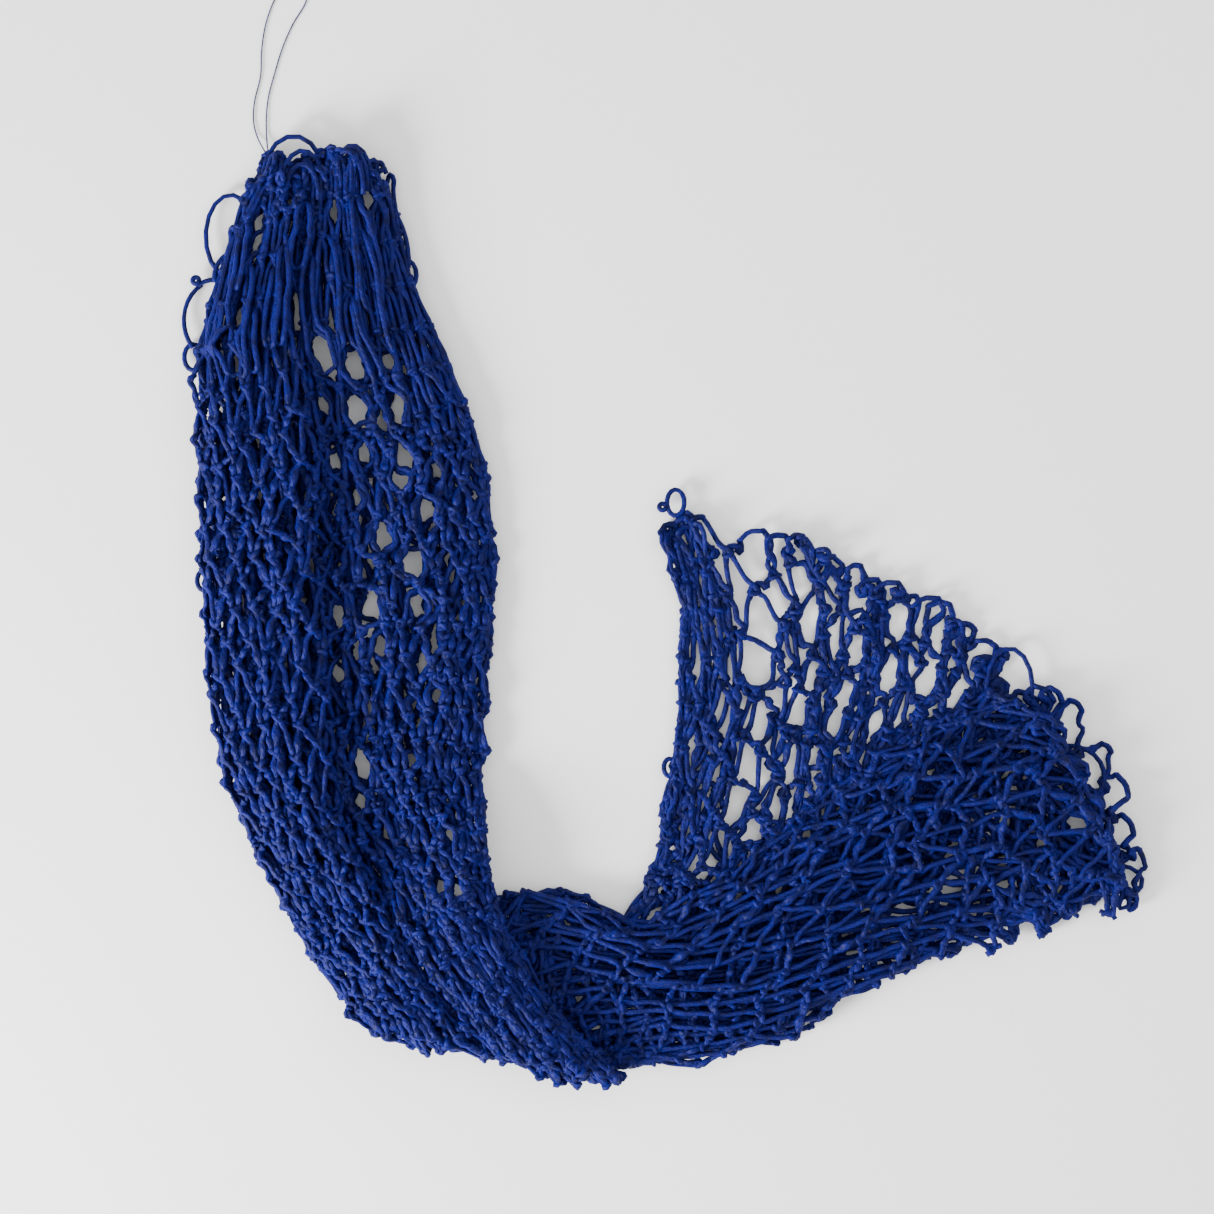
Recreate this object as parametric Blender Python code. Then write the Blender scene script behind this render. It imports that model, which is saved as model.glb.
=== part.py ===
"""A tennis net lying bunched on the ground: rows of knotted twine and the thread it hangs by.

The netting is gathered into a band. The band runs down from the net's head as a thick roll with
a flatter panel beside it, folds under itself, comes out sideways as a swag, and opens into a fan.
Each row of twine is one closed soft solid: as long as the space between two lines of knots, as
wide as the band and as high as its pleats. The ground is the plane z = 0, and x and y are the
long sides of the laid net's box, with the origin in the middle of it.
"""

import math

import bmesh
import bpy
from mathutils import Vector

# The laid net, in metres.
LAID_LENGTH = 0.883  # along x
LAID_WIDTH = 0.883  # along y
HEAD_HEIGHT = 0.032
ROLL_HEIGHT = 0.054  # the thick left side of the band
PANEL_HEIGHT = 0.032  # the flatter right side of it
OVER_HEIGHT = 0.030  # where the band lies on its own folded end
UNDER_HEIGHT = 0.026  # the folded end beneath it
SWAG_HEIGHT = 0.042
STRIP_HEIGHT = 0.022  # the gathered left side of the fan
VEIL_HEIGHT = 0.013  # the open, thin middle of it
PILE_HEIGHT = 0.034  # the heaped right side of it
ROW_GAP = 0.0004  # between one row and the next, and between the layers of the fold

# The thread, in metres.
THREAD_DIAMETER = 0.0014
THREAD_POINTS = 78
THREAD_END_HEIGHT = 0.004  # where it is tied to the first row
THREAD_CLEARANCE = 0.0001  # above the ground
THREAD_CLIMB_SHARE = 0.06  # the part of its length, at each end, in which it climbs

# How the band is divided.
FOLD_LINE = 32  # the line of knots along which the band folds under
LAST_LINE = 57
CELLS_ACROSS = 14
ROLL_SHARE = 0.46  # of the width, counted from the left edge
STRIP_SHARE = 0.13
PILE_SHARES = (0.30, 0.56)  # where the swag opens, and at the last line
SOFT_SHARE = 0.06  # half the width of the change from one height to the next
EDGE_DROP = 0.5  # how much lower the band is at its two edges

# Lines of knots between which the height changes.
FULL_HEIGHT_LINE = 8  # from the head, the band has reached its full height here
FLATTEN_LINES = (20, 30)  # it flattens over its own folded end
COVERED_UNTIL = (38.4, 34.0)  # the folded end is covered this far, at its left and right edges
CLEARING_LINES = 3  # and is at its full height this many lines on
OPENING_LINES = (40, 48)  # the swag opens into the fan
COVERED_EDGE_LINE = 37  # the covered part's left edge, which the slope follows, ends here

# The slope of the band's underside up onto the folded end, in metres.
RAMP = 0.060  # its width
RAMP_LEAD = 0.022  # it is done this far before the folded end begins

# Ribs across the band, each a line of knots: its number, then the left edge, the middle and the
# right edge. Places are percentages of the laid length and width, measured from the centre.
UPPER_RIBS = (
    (0, (-41.4, 48.0), (-35.7, 48.7), (-29.1, 46.5)),
    (2, (-45.3, 40.0), (-36.5, 39.8), (-27.4, 38.7)),
    (4, (-47.9, 31.4), (-36.5, 30.7), (-24.3, 30.1)),
    (6, (-48.8, 24.8), (-35.0, 24.1), (-20.8, 23.4)),
    (9, (-48.6, 15.8), (-33.9, 15.3), (-18.4, 14.8)),
    (14, (-48.0, 0.9), (-32.8, 0.7), (-17.6, 0.5)),
    (17, (-47.2, -7.9), (-32.8, -8.2), (-18.5, -7.9)),
    (20, (-45.7, -16.8), (-32.2, -17.0), (-18.8, -16.6)),
    (23, (-42.6, -24.3), (-29.9, -24.8), (-18.3, -24.8)),
    (26, (-38.9, -31.6), (-26.4, -32.4), (-16.4, -32.1)),
    (29, (-34.6, -38.1), (-21.6, -39.9), (-11.0, -41.0)),
    (32, (-29.9, -43.5), (-16.4, -47.2), (-2.7, -49.4)),
)
LOWER_RIBS = (
    (32, (-29.9, -43.5), (-16.4, -47.2), (-2.7, -49.4)),
    (34, (-24.9, -37.2), (-12.8, -44.1), (3.1, -47.7)),
    (37, (-17.2, -27.7), (-6.8, -38.9), (11.5, -44.7)),
    (39, (-10.9, -28.8), (0.0, -38.4), (17.7, -41.8)),
    (41, (-4.5, -31.8), (6.3, -37.3), (23.8, -38.1)),
    (43, (-1.4, -27.7), (13.2, -30.8), (29.7, -36.0)),
    (46, (0.3, -19.9), (18.8, -24.1), (34.9, -34.3)),
    (49, (1.6, -11.6), (24.5, -17.5), (39.9, -32.9)),
    (52, (2.6, -3.0), (29.7, -12.3), (44.3, -31.3)),
    (55, (1.7, 6.2), (35.0, -7.7), (47.7, -30.0)),
    (57, (-0.5, 11.8), (38.1, -5.4), (49.5, -29.3)),
)

# The thread's route from the corner of the head and back to it, in metres from that corner.
THREAD_ROUTE = (
    (-0.0016, 0.0022),
    (-0.0092, 0.0166),
    (-0.0129, 0.0313),
    (-0.0120, 0.0497),
    (-0.0064, 0.0736),
    (-0.0055, 0.0966),
    (-0.0018, 0.1205),
    (0.0064, 0.1435),
    (0.0147, 0.1555),
    (0.0239, 0.1601),
    (0.0322, 0.1546),
    (0.0359, 0.1435),
    (0.0230, 0.1205),
    (0.0138, 0.0994),
    (0.0064, 0.0754),
    (0.0009, 0.0543),
    (-0.0012, 0.0350),
    (-0.0006, 0.0140),
    (0.0010, 0.0024),
)


def clear_scene():
    for old in list(bpy.data.objects):
        bpy.data.objects.remove(old, do_unlink=True)


def finish_material(name, colour, roughness):
    material = bpy.data.materials.new(name)
    material.use_nodes = True
    shader = material.node_tree.nodes["Principled BSDF"]
    shader.inputs["Base Color"].default_value = (*colour, 1.0)
    shader.inputs["Roughness"].default_value = roughness
    shader.inputs["Metallic"].default_value = 0.0
    return material


def ease(low, high, value):
    """0 below low, 1 above high, and a smooth change between them."""
    part = min(1.0, max(0.0, (value - low) / (high - low)))
    return part * part * (3.0 - 2.0 * part)


def mix(first, second, part):
    return first + (second - first) * part


def across(rib, share):
    """The place on a rib at this share of the width: a curve through its three points."""
    left, middle, right = (Vector(point) for point in rib[1:])
    return (
        left * (1.0 - share) * (1.0 - 2.0 * share)
        + middle * 4.0 * share * (1.0 - share)
        + right * share * (2.0 * share - 1.0)
    )


def through(places, points, at):
    """A smooth curve through points that stand at these places along it."""
    last = len(places) - 1
    i = max(k for k in range(last) if places[k] <= at or k == 0)

    def slope(k):
        a, b = max(k - 1, 0), min(k + 1, last)
        return (points[b] - points[a]) / (places[b] - places[a])

    step = places[i + 1] - places[i]
    t = (at - places[i]) / step
    return (
        points[i] * (2 * t**3 - 3 * t**2 + 1)
        + slope(i) * step * (t**3 - 2 * t**2 + t)
        + points[i + 1] * (3 * t**2 - 2 * t**3)
        + slope(i + 1) * step * (t**3 - t**2)
    )


def ground_place(ribs, line, share):
    """Where a line of knots lies on the ground plan, in metres."""
    lines = [rib[0] for rib in ribs]
    place = through(lines, [across(rib, share) for rib in ribs], line)
    return Vector((place.x / 100.0 * LAID_LENGTH, place.y / 100.0 * LAID_WIDTH))


def rounded(share):
    """The band is lower towards both edges."""
    return 1.0 - EDGE_DROP * abs(2.0 * share - 1.0) ** 4


def upper_thickness(line, share):
    """The height of the pleats from the head to the fold."""
    in_roll = 1.0 - ease(ROLL_SHARE - SOFT_SHARE, ROLL_SHARE + SOFT_SHARE, share)
    height = mix(PANEL_HEIGHT, ROLL_HEIGHT, in_roll)
    height = mix(HEAD_HEIGHT, height, ease(0, FULL_HEIGHT_LINE, line))
    height = mix(height, OVER_HEIGHT, ease(*FLATTEN_LINES, line))
    return height * rounded(share)


def lower_thickness(line, share):
    """The height of the pleats from the fold to the fan's scalloped end."""
    covered_until = mix(*COVERED_UNTIL, share)
    clear_of_band = ease(covered_until, covered_until + CLEARING_LINES, line)
    in_strip = 1.0 - ease(STRIP_SHARE - SOFT_SHARE, STRIP_SHARE + SOFT_SHARE, share)
    pile_share = mix(*PILE_SHARES, ease(OPENING_LINES[0], LAST_LINE, line))
    in_pile = ease(pile_share - SOFT_SHARE, pile_share + SOFT_SHARE, share)
    fan = mix(mix(VEIL_HEIGHT, STRIP_HEIGHT, in_strip), PILE_HEIGHT, in_pile)
    height = mix(SWAG_HEIGHT, fan, ease(*OPENING_LINES, line))
    return mix(UNDER_HEIGHT, height * rounded(share), clear_of_band)


def underside(place):
    """How high the band's underside is: it climbs onto its own folded end."""
    corner = ground_place(LOWER_RIBS, FOLD_LINE, 0.0)
    edge = ground_place(LOWER_RIBS, COVERED_EDGE_LINE, 0.0) - corner
    inwards = Vector((edge.y, -edge.x)).normalized()
    climb = ease(-RAMP - RAMP_LEAD, -RAMP_LEAD, (place - corner).dot(inwards))
    return (UNDER_HEIGHT + ROW_GAP) * climb


def row_solid(row, material):
    """One row of twine, from its line of knots to the next, as a sheet pulled down to a solid."""
    upper = row < FOLD_LINE
    ribs = UPPER_RIBS if upper else LOWER_RIBS
    thickness = upper_thickness if upper else lower_thickness
    shape = bmesh.new()
    bmesh.ops.create_grid(shape, x_segments=CELLS_ACROSS, y_segments=1, size=1.0)
    for corner in shape.verts:
        share = (corner.co.x + 1.0) / 2.0
        line = row if corner.co.y < 0.0 else row + 1
        other = row + 1 if line == row else row
        place = ground_place(ribs, line, share)
        inwards = (ground_place(ribs, other, share) - place).normalized()
        base = underside(place) if upper else 0.0
        place += inwards * ROW_GAP / 2.0
        corner.co = (place.x, place.y, base + thickness(line, share))
    top = list(shape.verts)
    bases = {
        (round(v.co.x, 7), round(v.co.y, 7)): underside(v.co.xy) if upper else 0.0
        for v in top
    }
    grown = bmesh.ops.extrude_face_region(shape, geom=shape.faces[:])
    for low in (g for g in grown["geom"] if isinstance(g, bmesh.types.BMVert)):
        low.co.z = bases[round(low.co.x, 7), round(low.co.y, 7)]
    bmesh.ops.recalc_face_normals(shape, faces=shape.faces[:])
    name = f"twine_row_{row + 1:02d}"
    mesh = bpy.data.meshes.new(name)
    shape.to_mesh(mesh)
    shape.free()
    mesh.shade_smooth()
    mesh.set_sharp_from_angle(angle=math.radians(45))
    mesh.materials.append(material)
    solid = bpy.data.objects.new(name, mesh)
    bpy.context.scene.collection.objects.link(solid)


def thread_height(part):
    """The thread comes down from its knot to the ground, and climbs back to it."""
    lying = THREAD_DIAMETER / 2.0 + THREAD_CLEARANCE
    from_end = min(part, 1.0 - part)
    return mix(THREAD_END_HEIGHT, lying, ease(0.0, THREAD_CLIMB_SHARE, from_end))


def thread(material):
    corner = ground_place(UPPER_RIBS, 0, 0.0)
    route = [Vector(point) for point in THREAD_ROUTE]
    along = [0.0]
    for a, b in zip(route, route[1:]):
        along.append(along[-1] + (b - a).length)
    curve = bpy.data.curves.new("hanging_thread", "CURVE")
    curve.dimensions = "3D"
    curve.bevel_depth = THREAD_DIAMETER / 2.0
    curve.bevel_resolution = 2
    curve.use_fill_caps = True
    line = curve.splines.new("POLY")
    line.points.add(THREAD_POINTS - 1)
    for i, point in enumerate(line.points):
        part = i / (THREAD_POINTS - 1)
        place = corner + through(along, route, part * along[-1])
        point.co = (place.x, place.y, thread_height(part), 1.0)
    curve.materials.append(material)
    solid = bpy.data.objects.new("hanging_thread", curve)
    bpy.context.scene.collection.objects.link(solid)


def main():
    clear_scene()
    for row in range(LAST_LINE):
        twine = finish_material(f"twine_{row + 1:02d}", (0.012, 0.028, 0.190), 0.42)
        row_solid(row, twine)
    thread(finish_material("thread", (0.020, 0.018, 0.090), 0.5))


main()
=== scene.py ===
import math

import bpy
import numpy as np
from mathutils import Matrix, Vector


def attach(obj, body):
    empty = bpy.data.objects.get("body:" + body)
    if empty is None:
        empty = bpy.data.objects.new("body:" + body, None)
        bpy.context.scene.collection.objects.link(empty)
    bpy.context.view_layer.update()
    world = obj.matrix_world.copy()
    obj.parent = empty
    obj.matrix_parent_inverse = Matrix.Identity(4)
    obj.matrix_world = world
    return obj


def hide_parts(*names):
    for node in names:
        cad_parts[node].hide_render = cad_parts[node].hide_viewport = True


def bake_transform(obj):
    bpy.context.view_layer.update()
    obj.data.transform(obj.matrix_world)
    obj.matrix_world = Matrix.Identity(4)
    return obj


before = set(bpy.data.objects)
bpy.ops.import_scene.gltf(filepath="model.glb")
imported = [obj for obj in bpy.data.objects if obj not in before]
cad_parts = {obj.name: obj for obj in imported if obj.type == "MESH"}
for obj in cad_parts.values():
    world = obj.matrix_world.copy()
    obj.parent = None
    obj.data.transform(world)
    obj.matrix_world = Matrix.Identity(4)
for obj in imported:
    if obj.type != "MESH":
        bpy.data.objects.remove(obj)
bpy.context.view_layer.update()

# ---------------------------------------------------------------------------
# The camera looks straight down at the net as it lies, from 3 m up, with the
# gathered head towards the top of the frame.
CAMERA_AT = (-0.0534, 0.0087, 3.0)
camera_data = bpy.data.cameras.new("camera")
camera_data.lens = 96.7
camera_data.sensor_width = 36.0
camera_data.clip_end = 20.0
camera = bpy.data.objects.new("camera", camera_data)
camera.location = CAMERA_AT
bpy.context.scene.collection.objects.link(camera)
bpy.context.scene.camera = camera

# ---------------------------------------------------------------------------
# The hanging thread: a thin dark blue twisted thread, tied to the first loop
# at the head's left corner. It lies on the ground as one long narrow loop and
# comes back to the same knot.
LAID = 0.883  # the long sides of the laid net, in metres
THREAD_DIAMETER = 0.0014
THREAD_POINTS = 78
THREAD_END_HEIGHT = 0.004  # where it is tied
THREAD_CLEARANCE = 0.0001  # above the ground
THREAD_CLIMB_SHARE = 0.06  # the part of its length, at each end, in which it climbs
THREAD_CORNER = np.array((-0.414, 0.480)) * LAID
# Its route, in metres from the corner that it is tied to.
THREAD_ROUTE = np.array((
    (-0.0016, 0.0022), (-0.0092, 0.0166), (-0.0129, 0.0313), (-0.0120, 0.0497),
    (-0.0064, 0.0736), (-0.0055, 0.0966), (-0.0018, 0.1205), (0.0064, 0.1435),
    (0.0147, 0.1555), (0.0239, 0.1601), (0.0322, 0.1546), (0.0359, 0.1435),
    (0.0230, 0.1205), (0.0138, 0.0994), (0.0064, 0.0754), (0.0009, 0.0543),
    (-0.0012, 0.0350), (-0.0006, 0.0140), (0.0010, 0.0024),
))


def ease(low, high, value):
    """0 below low, 1 above high, and a smooth change between them."""
    part = np.clip((value - low) / (high - low), 0.0, 1.0)
    return part * part * (3.0 - 2.0 * part)


def mix(first, second, part):
    return first + (second - first) * part


def through(places, points, at):
    """A smooth curve through points that stand at these places along it."""
    last = len(places) - 1
    before = np.maximum(np.arange(last + 1) - 1, 0)
    after = np.minimum(np.arange(last + 1) + 1, last)
    gap = (places[after] - places[before]).reshape((-1,) + (1,) * (points.ndim - 1))
    slope = (points[after] - points[before]) / gap
    at = np.asarray(at, float)
    i = np.clip(np.searchsorted(places, at, side="right") - 1, 0, last - 1)
    shape = at.shape + (1,) * (points.ndim - 1)
    step = (places[i + 1] - places[i]).reshape(shape)
    t = ((at - places[i]) / (places[i + 1] - places[i])).reshape(shape)
    return (
        points[i] * (2 * t**3 - 3 * t**2 + 1)
        + slope[i] * step * (t**3 - 2 * t**2 + t)
        + points[i + 1] * (3 * t**2 - 2 * t**3)
        + slope[i + 1] * step * (t**3 - t**2)
    )


thread_along = np.concatenate(
    ([0.0], np.cumsum(np.linalg.norm(np.diff(THREAD_ROUTE, axis=0), axis=1)))
)
thread_part = np.linspace(0.0, 1.0, THREAD_POINTS)
thread_xy = THREAD_CORNER + through(thread_along, THREAD_ROUTE, thread_part * thread_along[-1])
thread_z = mix(
    THREAD_END_HEIGHT,
    THREAD_DIAMETER / 2 + THREAD_CLEARANCE,
    ease(0.0, THREAD_CLIMB_SHARE, np.minimum(thread_part, 1 - thread_part)),
)
thread_points = np.column_stack((thread_xy, thread_z))
thread_curve = bpy.data.curves.new("thread", "CURVE")
thread_curve.dimensions = "3D"
thread_curve.bevel_depth = THREAD_DIAMETER / 2
thread_curve.bevel_resolution = 2
thread_curve.use_fill_caps = True
thread_line = thread_curve.splines.new("POLY")
thread_line.points.add(THREAD_POINTS - 1)
for point, place in zip(thread_line.points, thread_points):
    point.co = (*place, 1.0)
thread = bpy.data.objects.new("thread", thread_curve)
bpy.context.scene.collection.objects.link(thread)


def streaked_colour(tree, scale, detail, *stops):
    """Streaks from one colour to the next, each given with its place on the ramp."""
    place = tree.nodes.new("ShaderNodeTexCoord")
    streaks = tree.nodes.new("ShaderNodeTexNoise")
    streaks.inputs["Scale"].default_value = scale
    streaks.inputs["Detail"].default_value = detail
    tree.links.new(place.outputs["Object"], streaks.inputs["Vector"])
    colours = tree.nodes.new("ShaderNodeValToRGB")
    for element, (position, colour) in zip(colours.color_ramp.elements, stops):
        element.position = position
        element.color = (*colour, 1)
    tree.links.new(streaks.outputs["Fac"], colours.inputs["Fac"])
    return colours.outputs["Color"]


def make_thread_material():
    material = bpy.data.materials.new("thread")
    material.use_nodes = True
    tree = material.node_tree
    shader = tree.nodes["Principled BSDF"]
    shader.inputs["Roughness"].default_value = 0.5
    colour = streaked_colour(
        tree, 260.0, 2.0, (0.35, (0.006, 0.006, 0.040)), (0.70, (0.030, 0.028, 0.140))
    )
    tree.links.new(colour, shader.inputs["Base Color"])
    return material


thread_curve.materials.append(make_thread_material())
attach(thread, "head")
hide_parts("hanging_thread")

# ---------------------------------------------------------------------------
# The netting: rows of braided blue twine. Each row is one length of twine
# that runs to and fro across the net, tied to the row before it with sheet
# bends, and hangs in bights that the next row is tied to. The net is bunched
# into a band that folds under itself and opens out as a fan.
TWINE = 0.0044  # its diameter
BAR = 0.042  # the twine from one knot to the next
ROWS = 57
MESHES = 60  # across the net
FOLD_LINE = 32  # the line of knots where the band folds under itself
# Ribs across the band, each a line of knots: its number, then the left edge, the
# middle and the right edge. Places are percentages of the laid net's sides,
# measured from its centre.
UPPER_RIBS = (
    (0, (-41.4, 48.0), (-35.7, 48.7), (-29.1, 46.5)),
    (2, (-45.3, 40.0), (-36.5, 39.8), (-27.4, 38.7)),
    (4, (-47.9, 31.4), (-36.5, 30.7), (-24.3, 30.1)),
    (6, (-48.8, 24.8), (-35.0, 24.1), (-20.8, 23.4)),
    (9, (-48.6, 15.8), (-33.9, 15.3), (-18.4, 14.8)),
    (14, (-48.0, 0.9), (-32.8, 0.7), (-17.6, 0.5)),
    (17, (-47.2, -7.9), (-32.8, -8.2), (-18.5, -7.9)),
    (20, (-45.7, -16.8), (-32.2, -17.0), (-18.8, -16.6)),
    (23, (-42.6, -24.3), (-29.9, -24.8), (-18.3, -24.8)),
    (26, (-38.9, -31.6), (-26.4, -32.4), (-16.4, -32.1)),
    (29, (-34.6, -38.1), (-21.6, -39.9), (-11.0, -41.0)),
    (32, (-29.9, -43.5), (-16.4, -47.2), (-2.7, -49.4)),
)
LOWER_RIBS = (
    (32, (-29.9, -43.5), (-16.4, -47.2), (-2.7, -49.4)),
    (34, (-24.9, -37.2), (-12.8, -44.1), (3.1, -47.7)),
    (37, (-17.2, -27.7), (-6.8, -38.9), (11.5, -44.7)),
    (39, (-10.9, -28.8), (0.0, -38.4), (17.7, -41.8)),
    (41, (-4.5, -31.8), (6.3, -37.3), (23.8, -38.1)),
    (43, (-1.4, -27.7), (13.2, -30.8), (29.7, -36.0)),
    (46, (0.3, -19.9), (18.8, -24.1), (34.9, -34.3)),
    (49, (1.6, -11.6), (24.5, -17.5), (39.9, -32.9)),
    (52, (2.6, -3.0), (29.7, -12.3), (44.3, -31.3)),
    (55, (1.7, 6.2), (35.0, -7.7), (47.7, -30.0)),
    (57, (-0.5, 11.8), (38.1, -5.4), (49.5, -29.3)),
)


def lie(ribs, line, share):
    """Where a line of knots lies on the ground plan, in metres."""
    lines = np.array([rib[0] for rib in ribs], float)
    points = np.array([rib[1:] for rib in ribs], float) / 100 * LAID
    rib = through(lines, points, line)
    share = np.asarray(share, float)
    weights = np.stack(
        ((1 - share) * (1 - 2 * share), 4 * share * (1 - share), share * (2 * share - 1)), -1
    )
    return (rib * weights[..., None]).sum(-2)


# How thick the net lies.
HEAD_HEIGHT = 0.032
ROLL_HEIGHT = 0.054  # the thick left side of the band
PANEL_HEIGHT = 0.032  # the flatter right side of it
OVER_HEIGHT = 0.030  # where the band lies on its own folded end
UNDER_HEIGHT = 0.026  # the folded end beneath it
SWAG_HEIGHT = 0.042
STRIP_HEIGHT = 0.022  # the gathered left side of the fan
VEIL_HEIGHT = 0.013  # the open, thin middle of it
PILE_HEIGHT = 0.034  # the heaped right side of it
# Where that changes, in shares of the width and in lines of knots.
ROLL_EDGE = (0.40, 0.52)
STRIP_EDGE = (0.07, 0.19)
PILE_SHARES = (0.30, 0.56)  # where the swag opens, and at the last line
PILE_SOFT_SHARE = 0.06
FULL_HEIGHT_LINE = 8
FLATTEN_LINES = (20, 30)
COVERED_UNTIL = (38.4, 34.0)  # the folded end is covered this far, at its left and right edges
CLEARING_LINES = 3
OPENING_LINES = (40, 48)  # the swag opens into the fan
COVERED_EDGE_LINE = 37  # the covered part's left edge ends here
# The slope of the band's underside up onto the folded end, in metres.
RAMP_RISE = 0.0264
RAMP_ENDS = (-0.082, -0.022)
LEVEL_MARGIN = 0.0055  # from the top and bottom of the net to the nearest twine
EDGE_DROP = 0.5  # how much lower the net is at its two edges


def rounded(share):
    """The part of its full height that the net has at this share of its width."""
    return 1.0 - EDGE_DROP * np.abs(2.0 * np.clip(share, 0, 1) - 1.0) ** 4


def upper_thickness(line, share):
    in_roll = 1.0 - ease(*ROLL_EDGE, share)
    height = mix(PANEL_HEIGHT, ROLL_HEIGHT, in_roll)
    height = mix(HEAD_HEIGHT, height, ease(0, FULL_HEIGHT_LINE, line))
    height = mix(height, OVER_HEIGHT, ease(*FLATTEN_LINES, line))
    return height * rounded(share)


def lower_thickness(line, share):
    covered_until = mix(*COVERED_UNTIL, np.clip(share, 0, 1))
    clear_of_band = ease(covered_until, covered_until + CLEARING_LINES, line)
    in_strip = 1.0 - ease(*STRIP_EDGE, share)
    pile_share = mix(*PILE_SHARES, ease(OPENING_LINES[0], ROWS, line))
    in_pile = ease(pile_share - PILE_SOFT_SHARE, pile_share + PILE_SOFT_SHARE, share)
    fan = mix(mix(VEIL_HEIGHT, STRIP_HEIGHT, in_strip), PILE_HEIGHT, in_pile)
    height = mix(SWAG_HEIGHT, fan, ease(*OPENING_LINES, line))
    return mix(UNDER_HEIGHT, height * rounded(share), clear_of_band)


FOLD_CORNER = lie(LOWER_RIBS, FOLD_LINE, 0.0)
FOLD_EDGE = lie(LOWER_RIBS, COVERED_EDGE_LINE, 0.0) - FOLD_CORNER
FOLD_INWARDS = np.array((FOLD_EDGE[1], -FOLD_EDGE[0])) / np.linalg.norm(FOLD_EDGE)


def underside(place):
    """The height of the band's underside, which climbs onto the folded end."""
    return RAMP_RISE * ease(*RAMP_ENDS, (place - FOLD_CORNER) @ FOLD_INWARDS)


def height_in(base, thickness, level):
    """A level from 0 to 1 among the pleats, as a height, with room for the twine."""
    margin = np.minimum(LEVEL_MARGIN, 0.4 * thickness)
    return base + margin + level * (thickness - 2 * margin)


# The pleats, one pass of the net across the band each, from one selvedge to the
# other: (from share, to share, from level, to level, meshes across it).
UPPER_PLEATS = (
    (0.58, 0.00, 0.06, 0.10, 9), (0.00, 0.53, 0.37, 0.30, 9), (0.46, 0.00, 0.64, 0.64, 8),
    (0.00, 0.42, 0.92, 0.92, 6), (0.45, 1.00, 0.12, 0.12, 9), (1.00, 0.58, 0.40, 0.40, 6),
    (0.58, 1.00, 0.66, 0.66, 5), (1.00, 0.46, 0.92, 0.85, 8),
)
# Past the fold the net turns over into fewer, wider meshes on top.
SWAG_PLEATS = (
    (0.60, -0.04, 0.22, 0.22, 5), (-0.04, 0.50, 0.08, 0.08, 5), (0.50, 1.00, 0.08, 0.08, 10),
    (1.00, -0.03, 0.22, 0.22, 10), (-0.03, 1.00, 0.36, 0.36, 5), (1.00, -0.03, 0.50, 0.50, 5),
    (-0.03, 1.00, 0.65, 0.65, 6), (1.00, -0.04, 0.79, 0.79, 6), (-0.04, 1.00, 0.93, 0.93, 8),
)
# In the fan, a strip along the left edge, one open layer that runs from it to
# the right edge, and a pile over that, whose shares are of the pile's width.
STRIP_PLEATS = ((0.065, -0.02, 0.10, 0.10, 5), (-0.02, 0.065, 0.80, 0.70, 5))
VEIL_PLEATS = (
    (0.085, 0.32, 0.50, 0.08, 10), (0.32, 0.58, 0.08, 0.08, 10), (0.58, 1.00, 0.08, 0.08, 5),
)
PILE_PLEATS = (
    (0.98, 0.00, 0.30, 0.30, 5), (0.00, 1.00, 0.50, 0.50, 6), (0.96, 0.02, 0.70, 0.70, 6),
    (0.00, 0.98, 0.92, 0.92, 8),
)
PLEAT_STEPS = 24  # to a mesh, in the table of the pleats
TURN_STEPS = 15  # over which a turn is rounded, to each side


def pleat_table(*layers):
    """Share, level and layer number along the net's width, with the turns rounded."""
    fine = []
    for number, passes in enumerate(layers):
        for start, end, low, high, meshes in passes:
            t = np.linspace(0, 1, PLEAT_STEPS * meshes + 6)[:, None]
            fine.append(mix(np.array((start, low, number)), np.array((end, high, number)), t))
    fine = np.concatenate(fine)
    part = np.linspace(0, 1, len(fine))
    window = np.hanning(2 * TURN_STEPS + 1)
    window /= window.sum()
    padded = np.pad(fine, ((TURN_STEPS, TURN_STEPS), (0, 0)), "edge")
    return part, np.stack([np.convolve(column, window, "valid") for column in padded.T], 1)


def pleat_at(table, part):
    """The share, level and layer number of this part of the net's width."""
    return [np.interp(part, table[0], column) for column in table[1].T]


upper_table = pleat_table(UPPER_PLEATS)
swag_table = pleat_table(SWAG_PLEATS)
fan_table = pleat_table(STRIP_PLEATS, VEIL_PLEATS, PILE_PLEATS)
# Going down from the rim, the open layer's ropes lean over to the right and
# run in under the pile.
ROPE_LEAN = 0.03
LEANING_LINES = 12
# The pile's left edge: (line, share). Its rim is bunched up at this line.
PILE_EDGE = ((42, 0.13), (46, 0.30), (50, 0.39), (54, 0.43), (57, 0.57))
PILE_END = 54.6
BUNCHING = 0.15
# The open layer and the strip grow narrower over the last lines.
TAPER = 0.4
TAPER_FROM = 50
# Which rib a line of knots lies on: past the fold the lines are evenly spaced.
RIB_OF_LINE = (
    (0, 0), (32, 32), (34, 34.3), (37, 37.4), (41, 40.9), (43, 42.1), (46, 44.5), (52, 50.7),
    (55, 54.2), (57, 57),
)


def between(pairs, at):
    """The value at this place, on straight lines through (place, value) pairs."""
    return np.interp(at, *zip(*pairs))


def rope_share(line, share):
    """The share at which a rope of the open layer stands, when it starts from this one."""
    return np.clip(share, 0, 1) ** (1 - ROPE_LEAN * np.clip(ROWS - line, 0, LEANING_LINES))


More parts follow.
